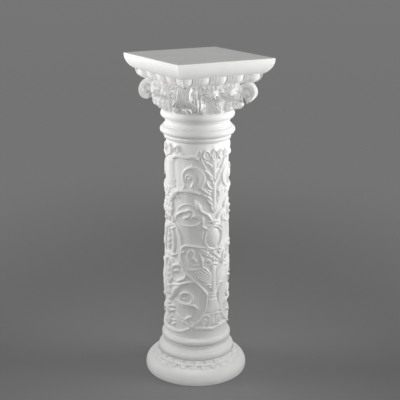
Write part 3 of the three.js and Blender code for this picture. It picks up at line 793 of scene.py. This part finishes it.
def carve_side_axis(relief):
    """What stands on the side axis, with u from there: flower, baluster, fruit, leaves."""
    stem, leaf, boss = relief.stem, relief.leaf, relief.boss
    # The open flower at the top
    relief.bowl(0, 727, 14, 19, 7, 0.65)
    leaf([(0, 712), (0, 726), (0, 740)], 4.5, 4.6, lobes=3)
    relief.bowl(-32, 730, 10, 14, 7, 0.8, 10)
    stem([(-42, 742), (-44, 730), (-40, 718)], 2, 2, 4.5)
    # The smooth baluster
    relief.body(0, [(618, 31), (640, 28), (665, 25), (686, 23.5), (694, 26), (701, 33)], 7,
                edge=1.1)
    relief.body(0, [(612, 25), (620, 28)], 7)
    relief.body(0, [(632, 29), (638, 29)], 7.2)
    # The flower and fruit below it
    boss(0, 602, 11, 9, 8, 6)
    boss(-17, 600, 9, 8, 7.5, 5)
    boss(-8, 588, 8, 7, 7, 5)
    leaf([(-10, 588), (-22, 594), (-32, 606)], 6.5, 6.5, lobes=3)
    # Tall leaves and arms
    leaf([(0, 506), (0, 540), (0, 586)], 12, 7, lobes=4)
    leaf([(-4, 512), (-14, 545), (-12, 582)], 7, 6.5, lobes=4)
    stem([(-3, 532), (-10, 526), (-17, 518), (-21, 510)], 3.4, 4, 6)
    boss(-20, 509, 6, 7.5, 7)
    boss(0, 491, 15, 8, 8)
    leaf([(-6, 480), (-18, 484), (-30, 490)], 5.5, 7)
    # The broad smooth leaf that falls beside the axis to the lower knot
    leaf([(-24, 502), (-34, 484), (-42, 462), (-46, 432),
          (-46, 396), (-44, 368)], 8, 4.6, root=0.5, hollow=0.35)
    leaf([(-16, 494), (-22, 462), (-24, 430), (-22, 396)], 6.5, 6)
    leaf([(0, 412), (0, 445), (0, 482)], 10, 7, lobes=4)
    boss(0, 399, 16, 7, 8)
    leaf([(-6, 396), (-20, 398), (-34, 404)], 5, 6.5)
    leaf([(-4, 384), (-18, 376), (-24, 356)], 7, 6.5, lobes=4)
    leaf([(0, 300), (0, 340), (0, 388)], 10, 7, lobes=5)
    leaf([(-4, 304), (-14, 322), (-12, 350)], 6, 6, lobes=4)
    boss(0, 292, 11, 8, 7.5, 5)
    leaf([(0, 262), (0, 276), (0, 288)], 9, 6.5)
    boss(0, 238, 13, 8, 8)
    leaf([(-4, 226), (-16, 230), (-28, 231)], 5, 6.5)
    leaf([(-2, 210), (-12, 213), (-26, 217)], 5, 6, lobes=3)
    leaf([(0, 232), (0, 214), (0, 196)], 11, 6.5, lobes=4)
    leaf([(-2, 166), (-8, 184), (-16, 196)], 6, 6.5)
    leaf([(0, 200), (0, 178), (0, 158)], 8, 6, lobes=3)


# Base
def base_profiles():
    """Radius and height pairs below the band of leaves, on it, and above it."""
    swell_out, swell_up = BASE_SWELL
    floor = -math.degrees(math.asin(BASE_WIDEST_HEIGHT / swell_up))
    below = arc(BASE_RADIUS - swell_out, BASE_WIDEST_HEIGHT, swell_out, swell_up, floor, 80, 28)
    outer = np.array(BASE_BAND_OUTER)
    inner = np.array(BASE_BAND_INNER)
    band = [tuple(outer + (inner - outer) * t) for t in np.linspace(0, 1, BASE_BAND_ROWS)]
    above = [
        *arc(*BASE_ROUND_CENTRE, *BASE_ROUND_SWELL, -58, 62, 18),
        *arc(*BASE_HOLLOW_CENTRE, *BASE_HOLLOW_SWELL, -52, 42, 14),
        *arc(*BASE_COLLAR_CENTRE, *BASE_COLLAR_SWELL, -72, 80, 16),
    ]
    return below, band, above


def carve_base_leaves(relief, pitch, length):
    """One leaf of the lower row at 0 and one of the upper row half a pitch away.

    Each runs from its root down to its tip, on a band of the given length."""
    half_pitch = pitch / 2
    lower_line = [(0, length * 0.7), (0, 9)]
    upper_line = [(half_pitch, length + 6), (half_pitch, length * 0.4 + 9)]
    for line, height in zip((lower_line, upper_line), BASE_LEAF_HEIGHTS):
        relief.leaf(line, BASE_LEAF_HALF_WIDTH, height, root=0.9, tip=0.7, hollow=0.35)


def build_base(material):
    below, band, above = base_profiles()
    rows = slice(len(below), len(below) + len(band))
    inwards = BASE_BAND_OUTER[0] - BASE_BAND_INNER[0]
    upwards = BASE_BAND_INNER[1] - BASE_BAND_OUTER[1]
    length = math.hypot(inwards, upwards)
    slope = math.atan2(upwards, inwards)
    pitch = TAU * (BASE_BAND_OUTER[0] + BASE_BAND_INNER[0]) / 2 / BASE_LEAVES
    u = np.linspace(0, pitch / 2, BASE_LEAF_COLUMNS + 1)
    relief = Relief(u, np.linspace(0, length, BASE_BAND_ROWS))
    carve_base_leaves(relief, pitch, length)
    around = 2 * BASE_LEAF_COLUMNS * BASE_LEAVES
    rise = relief.height[:, mirrored(around, BASE_LEAF_COLUMNS)]

    def with_leaves(radius, height, turn):
        uneven = rise * (1 + by_hand(turn[rows], BASE_UNEVEN))
        radius[rows] += uneven * math.sin(slope)
        height[rows] += uneven * math.cos(slope)
        return radius, height

    piece = turned("base_casting", [*below, *band, *above], around, with_leaves)
    smooth(piece, 50)
    dress(piece, "base", material)


# Shaft
def shaft_radius(z):
    """The radius of the tapering shaft at a height, under its relief."""
    part = (z - SHAFT_BOTTOM) / (SHAFT_TOP - SHAFT_BOTTOM)
    return SHAFT_RADIUS_BOTTOM + (SHAFT_RADIUS_TOP - SHAFT_RADIUS_BOTTOM) * part


def build_shaft(material):
    per_quarter = SHAFT_COLUMNS // 4
    u = np.arange(per_quarter + 1) * QUARTER / per_quarter
    z = np.linspace(SHAFT_BOTTOM + JOINT_GAP, SHAFT_TOP, SHAFT_ROWS)
    relief = Relief(u, z)
    carve_scrolls(relief)
    carve_front_axis(relief)
    relief.u -= QUARTER
    carve_side_axis(relief)
    relief.height[z < SHAFT_BOTTOM + SHAFT_PLAIN_EDGE] = 0
    relief.height[z > SHAFT_TOP - SHAFT_PLAIN_EDGE] = 0
    rise = softened(relief.height, SHAFT_BLUR)[:, mirrored(SHAFT_COLUMNS, per_quarter)]
    turn = np.arange(SHAFT_COLUMNS) * TAU / SHAFT_COLUMNS - math.pi / 2
    z = z[:, None]
    piece = closed_rings("shaft_casting", polar_rings(shaft_radius(z) + rise, turn, z))
    thinned(piece, SHAFT_TRIANGLES)
    smooth(piece, 60)
    dress(piece, "shaft", material)


# Turned part of the capital
def capital_profile():
    """Radius and height pairs from the foot of the capital up to the top of its bell."""
    return [
        (CAPITAL_FOOT_RADIUS, SHAFT_TOP + JOINT_GAP),
        RING_FOOT,
        *arc(*RING_CENTRE, *RING_SWELL, -50, 60, 8),
        TORUS_FOOT,
        *arc(*TORUS_CENTRE, *TORUS_SWELL, -78, 76, 24),
        *arc(*NECK_CENTRE, *NECK_SWELL, -70, 62, 12),
        *arc(*ASTRAGAL_CENTRE, *ASTRAGAL_SWELL, -78, 82, 24),
        *BELL_CORE,
    ]


def build_core(material):
    core = turned("capital_core", capital_profile(), CAPITAL_COLUMNS)
    smooth(core, 50)
    dress(core, "capital", material)


# The square band of eggs and the square top over it
def spun(points, degrees):
    """Points turned about the upright axis."""
    a = math.radians(degrees)
    turn = np.array([
        [math.cos(a), -math.sin(a), 0],
        [math.sin(a), math.cos(a), 0],
        [0, 0, 1],
    ])
    return points @ turn.T


def squared(name, profile, per_side, reshape=None):
    """A closed square loft with sharp corners from half side and height pairs."""
    profile = np.array(profile, float)
    half = np.repeat(profile[:, :1], per_side, axis=1)
    height = np.repeat(profile[:, 1:], per_side, axis=1)
    along = half * np.linspace(-1, 1, per_side + 1)[:-1]
    if reshape:
        half, height = reshape(half, height, along)
    side = np.stack([half, along, height], axis=-1)
    sides = [spun(side, 90 * quarter) for quarter in range(4)]
    return closed_rings(name, np.concatenate(sides, axis=1))


def egg_relief(half, height, along):
    """Eggs with upright ribs between them, standing out of the sunk face of the band."""
    reach = EGG_PITCH * (EGGS_PER_SIDE - 1) / 2
    nearest = np.clip(np.round(along / EGG_PITCH) * EGG_PITCH, -reach, reach)
    across = np.abs(along - nearest)
    down = np.clip((EGG_MIDDLE - height) / EGG_HALF_HEIGHT, 0, 1)
    wide = EGG_HALF_WIDTH * np.sqrt(np.clip(1 - down ** EGG_BLUNTNESS, 0.02, 1))
    egg = np.sqrt(np.clip(1 - (across / wide) ** 2, 0, 1))
    ribs = RIB_HEIGHT * np.abs(np.cos(math.pi * (across - EGG_PITCH / 2) / RIB_PITCH))
    ribs = ribs * (across > wide + 1) * np.clip(1.25 - down ** 3, 0, 1)
    corner = np.clip(1 - (half - np.abs(along)) / EGG_BAND_CORNER, 0, 1)
    shape = np.maximum(np.maximum(egg, ribs), corner)
    on_face = np.clip((height - EGG_BAND_BOTTOM + 1) / EGG_BAND_FADE, 0, 1)
    return half - EGG_DEPTH * (1 - shape) * on_face, height


def build_egg_band(material):
    profile = [*EGG_BAND_ROOT, *spline(EGG_BAND_FACE, 0.75), EGG_BAND_TOP]
    band = squared("egg_band", profile, EGG_BAND_STEPS, egg_relief)
    smooth(band, 50)
    dress(band, "capital", material)


def build_square_top(material):
    profile = [
        (TOP_INNER_HALF_SIDE, TOP_UNDERSIDE),
        *spline(TOP_FACE),
        (TOP_HALF_SIDE, TOTAL_HEIGHT - TOP_CHAMFER),
        (TOP_HALF_SIDE - TOP_CHAMFER, TOTAL_HEIGHT),
    ]
    top = squared("square_top", profile, TOP_STEPS)
    smooth(top, 30)
    dress(top, "capital", material)


# The ring of leaves, drawn on the unrolled bell: u runs from the middle of a face
# at 0 to the corner at EIGHTH, and z is the height
def carve_leaf_masses(relief):
    """The bulk of the leaves: how far each stands out from the bell."""
    relief.boss(FACE_LEAF, 902, 23, 19, 19)
    relief.boss(FACE_LEAF - 4, 912, 17, 14, 18)
    relief.boss(EIGHTH, 862, 22, 18, 24)
    # The sheath that opens beside the volute
    relief.leaf([(60, 850), (60, 872), (62, 898), (66, 928)], 14, 19, root=0.5, tip=0.9)
    relief.boss(65, 910, 12, 18, 23)
    # Tips behind, under the egg band
    relief.leaf([(0, 842), (0, 866), (0, 892)], 12, 6)
    relief.leaf([(47, 842), (46, 864), (46, 884)], 9, 7)
    relief.leaf([(46, 880), (48, 900), (50, 926)], 10, 14, tip=0.5)
    relief.leaf([(0, 880), (0, 904), (0, 926)], 14, 11, tip=0.6)
    relief.stem([(0, 921), (30, 922), (60, 922), (EIGHTH, 922)], 5, 5, 13)


def fan(relief, crown, ends, half, height, lobes=3):
    """Leaf lobes that spread from one crown to the given ends, bowed outwards."""
    for end_u, end_z in ends:
        middle = (crown[0] + (end_u - crown[0]) * 0.66, (end_z + crown[1]) / 2 + 2.5)
        relief.leaf([crown, middle, (end_u, end_z)], half, height, lobes, root=0.4, tip=0.5,
                    bite=0.42)


def carve_leaf_lobes(relief):
    """The lobes, folds and ribs that lie on the leaf masses."""
    ends = [(-27, 907), (-23, 893), (-12, 884), (0, 880), (12, 884), (23, 893), (27, 907)]
    fan(relief, (FACE_LEAF, 911), [(FACE_LEAF + u, z) for u, z in ends], 4.8, 11, 2)
    fan(relief, (FACE_LEAF, 903), [(FACE_LEAF + u, 927) for u in (-19, -7, 7, 19)], 4.6, 10, 2)
    # The stem of the leaf with a fold on each side
    relief.stem([(FACE_LEAF, 843), (FACE_LEAF, 880)], 2.2, 1.4, 1.4)
    for side in (-1, 1):
        relief.leaf([(FACE_LEAF + 15 * side, 842), (FACE_LEAF + 17 * side, 862),
                     (FACE_LEAF + 14 * side, 886)], 3.4, 8, root=0.8, tip=0.5)
        relief.leaf([(FACE_LEAF + 21 * side, 843), (FACE_LEAF + 23 * side, 862),
                     (FACE_LEAF + 22 * side, 888)], 3.8, 9, lobes=4, bite=0.4)
    # The fat curl at the foot of the corner
    ends = [(-27, 866), (-22, 853), (-11, 846), (0, 844)]
    fan(relief, (EIGHTH - 1, 874), [(EIGHTH + u, z) for u, z in ends], 4.8, 10, 2)
    fan(relief, (EIGHTH, 866), [(EIGHTH + u, 881) for u in (-18, -6)], 4.4, 8, 2)
    # Pleats of the sheath and of the tips behind
    for u in (53, 62, 71, 79):
        relief.leaf([(u - 2, 848), (u - 2, 880), (u + 2, 926)], 4, 8, lobes=6, root=0.6, tip=0.6,
                    bite=0.4)
    for u in (-12, 0, 12):
        relief.leaf([(u * 0.5, 843), (u, 862), (u * 1.3, 890)], 4.2, 9, lobes=3, bite=0.4)
    for u in (40, 48):
        relief.leaf([(u, 844), (u + 1, 864), (u - 2, 886)], 3.4, 9, lobes=3, bite=0.4)
    for u in (-18, -9, 9, 18, 43, 52):
        relief.leaf([(u * 0.9, 888), (u, 908), (u * 1.05, 927)], 4, 9, lobes=3, tip=0.5, bite=0.4)
    relief.boss(0, 914, 10, 10, 11, 6)


def carve_leaf_pits(height, u, z):
    """Small drilled eyes between the lobes, each with a place and a radius."""
    pits = (
        (FACE_LEAF - 13, 899, 3), (FACE_LEAF + 13, 899, 3), (FACE_LEAF, 895, 2.8),
        (FACE_LEAF - 12, 914, 3), (FACE_LEAF + 12, 914, 3), (EIGHTH - 13, 862, 3),
        (56, 897, 3), (44, 906, 3), (17, 923, 3), (38, 872, 3), (8, 894, 3),
        (FACE_LEAF - 22, 880, 3), (FACE_LEAF + 23, 880, 3), (66, 874, 3),
    )
    for at_u, at_z, size in pits:
        gap = np.hypot(u - at_u, z - at_z) / size
        height = height - PIT_DEPTH * np.exp(-gap ** 2)
    return height


def build_leaves(material):
    per_eighth = LEAF_COLUMNS // 8
    u = np.arange(per_eighth + 1) * EIGHTH / per_eighth
    z = np.linspace(LEAF_BOTTOM, LEAF_TOP, LEAF_ROWS)
    masses = Relief(u, z)
    carve_leaf_masses(masses)
    lobes = Relief(u, z)
    carve_leaf_lobes(lobes)
    height = softened(masses.height, MASS_BLUR) + LOBE_RELIEF * lobes.height - LOBE_SINK
    height = np.maximum(carve_leaf_pits(height, masses.u, masses.z), -LOBE_SINK)

    z = z[:, None]
    foot = np.clip((z - LEAF_BOTTOM) / LEAF_FOOT_RISE, 0, 1)
    height = softened(height * foot, LOBE_BLUR)[:, mirrored(LEAF_COLUMNS, per_eighth)]
    turn = np.arange(LEAF_COLUMNS) * TAU / LEAF_COLUMNS
    # A little unevenness from the hand, different in each quarter
    uneven = by_hand(turn, ((0.5, 5, z / 7), (0.4, 17, -z / 5)))
    height = height + uneven * np.clip(height / LEAF_DROOP_FROM, 0, 1)
    radius = np.interp(z, BELL_HEIGHTS, BELL_RADII) + height
    drop = LEAF_DROOP * np.clip(height - LEAF_DROOP_FROM, 0, None)
    piece = closed_rings("capital_leaves", polar_rings(radius, turn, z - drop))
    smooth(piece, 60)
    dress(piece, "capital", material)


# Corner volutes
def volute_outline():
    """The stations joined into a closed smooth loop."""
    stations = np.array(VOLUTE_STATIONS, float)
    line = []
    for i in range(len(stations)):
        before, start, stop, after = (stations[(i + k) % len(stations)] for k in (-1, 0, 1, 2))
        for t in np.linspace(0, 1, VOLUTE_STEPS, endpoint=False):
            line.append(along_curve(before, start, stop, after, t))
    return np.array(line)


def flute(part):
    """How far the band of a volute stands out, from its middle at 0 to its rims at 1."""
    side = abs(part)
    if side < FLUTE_PITCH:
        return -GROOVE_DEPTH * (1 - (side / FLUTE_PITCH) ** 2)
    ridges = RIDGE_HEIGHT * abs(math.cos(math.pi * (side - FIRST_RIDGE) / FLUTE_PITCH)) - RIDGE_SINK
    return ridges * min((side - FLUTE_PITCH) * 12, 1)


def volute_cheek(outline, half):
    """The hollowed side of a volute, from round its eye out to its rim.

    Each step is a smaller outline and its distance from the middle plane."""
    eye = np.array(VOLUTE_EYE)
    turn = np.arctan2(outline[:, 1] - eye[1], outline[:, 0] - eye[0])
    winding = ((turn - CHEEK_WINDING_START) % TAU) / TAU
    inner, outer = CHEEK_HOLLOW_PARTS
    edge = inner + (outer - inner) * winding
    cheek = []
    for s in np.linspace(*CHEEK_PARTS, CHEEK_RINGS):
        place = eye + (outline - eye) * s
        rim = max(s - (1 - CHEEK_ROUND_PART), 0) / CHEEK_ROUND_PART
        round_off = CHEEK_ROUND * (1 - math.sqrt(1 - rim ** 2))
        hollow = CHEEK_HOLLOW * (1 - np.clip((s - edge) / CHEEK_HOLLOW_WALL, 0, 1) ** 1.3)
        hollow = hollow - CHEEK_EYE * np.clip(1 - s / (edge - CHEEK_EYE_MARGIN), 0, 1) ** 0.6
        width = VOLUTE_HALF_WIDTH + (half - VOLUTE_HALF_WIDTH) * s ** 2
        stalk = np.clip((STALK_RADIUS - place[:, 0]) / STALK_FADE, 0, 1)
        lean = (place[:, 0] + 0.7 * place[:, 1]) / STALK_RIB_PITCH
        ribs = STALK_RIB * np.cos(TAU * lean) * stalk
        cheek.append((place, width - round_off - hollow * (1 - stalk) + ribs * s))
    return cheek


def volute_rings():
    """The volute over the x axis as rings, from one cheek over its band to the other."""
    line = volute_outline()
    outline, half, fluting = line[:, :2], line[:, 2], line[:, 3]
    ahead = np.roll(outline, -1, axis=0) - np.roll(outline, 1, axis=0)
    ahead = ahead / np.linalg.norm(ahead, axis=1)[:, None]
    out = np.stack([-ahead[:, 1], ahead[:, 0]], axis=-1)
    cheek = volute_cheek(outline, half)
    sections = [(place, -width) for place, width in cheek]
    for part in np.linspace(-1, 1, BAND_RINGS):
        shift = flute(part) * fluting - BAND_ROUND * abs(part) ** 8
        sections.append((outline + out * shift[:, None], part * half))
    sections += reversed(cheek)
    return np.array([
        np.stack([place[:, 0], across, place[:, 1]], axis=-1) for place, across in sections
    ])


def build_volutes(material):
    rings = volute_rings()
    shells = Shells()
    for quarter in range(4):
        shells.add(spun(rings, 45 + 90 * quarter))
    piece = shells.build("capital_volutes")
    smooth(piece, 55)
    dress(piece, "capital", material)


def build_capital(material):
    build_core(material)
    build_egg_band(material)
    build_square_top(material)
    build_volutes(material)
    build_leaves(material)


# Floor and light
def build_stage():
    """A wide floor, painted darker round the pedestal than farther off: a painted shade."""
    bpy.ops.mesh.primitive_plane_add(size=FLOOR_SIZE, location=(0, 0, 0))
    floor = bpy.context.object
    floor.name = "floor"
    paint = Finish("floor_paint")
    paint.shader.inputs["Roughness"].default_value = FLOOR_ROUGHNESS
    distance = paint.tree.nodes.new("ShaderNodeVectorMath")
    distance.operation = "LENGTH"
    paint.tree.links.new(paint.place, distance.inputs[0])
    # Painted shade round the pedestal: the floor colour darkens towards its middle
    fade = map_range(paint.tree, distance.outputs["Value"], FLOOR_PAINTED_SHADE_REACH, FLOOR_PAINTED_SHADE)
    fade.interpolation_type = "SMOOTHSTEP"
    paint.feed(fade.outputs["Result"], "Base Color")
    floor.data.materials.append(paint.material)


def build_world():
    """Even light from all round, stronger from the walls than from the ceiling."""
    world = bpy.data.worlds.new("studio")
    world.use_nodes = True
    tree = world.node_tree
    background = tree.nodes["Background"]
    background.inputs["Color"].default_value = (1, 1, 1, 1)
    place = tree.nodes.new("ShaderNodeTexCoord")
    split = tree.nodes.new("ShaderNodeSeparateXYZ")
    tree.links.new(place.outputs["Generated"], split.inputs["Vector"])
    fade = map_range(tree, split.outputs["Z"], WORLD_FADE, WORLD_LIGHT)
    tree.links.new(fade.outputs["Result"], background.inputs["Strength"])
    bpy.context.scene.world = world


def area_light(name, place, target, size, power, spread):
    data = bpy.data.lights.new(name, "AREA")
    data.shape = "RECTANGLE"
    data.size, data.size_y = size
    data.energy = power
    data.spread = math.radians(spread)
    light = bpy.data.objects.new(name, data)
    light.location = place
    aim = Vector(target) - Vector(place)
    light.rotation_euler = aim.to_track_quat("-Z", "Y").to_euler()
    light.visible_camera = False
    bpy.context.scene.collection.objects.link(light)


def build_lights():
    turn = Matrix.Rotation(CAMERA_TURN, 4, "Z")
    for name, place, *panel in PANELS:
        area_light(name, turn @ Vector(place), *panel)
    bpy.context.scene.view_settings.view_transform = "Standard"


build_camera()
plaster = build_plaster()
build_base(plaster)
build_shaft(plaster)
build_capital(plaster)
build_stage()
build_world()
build_lights()
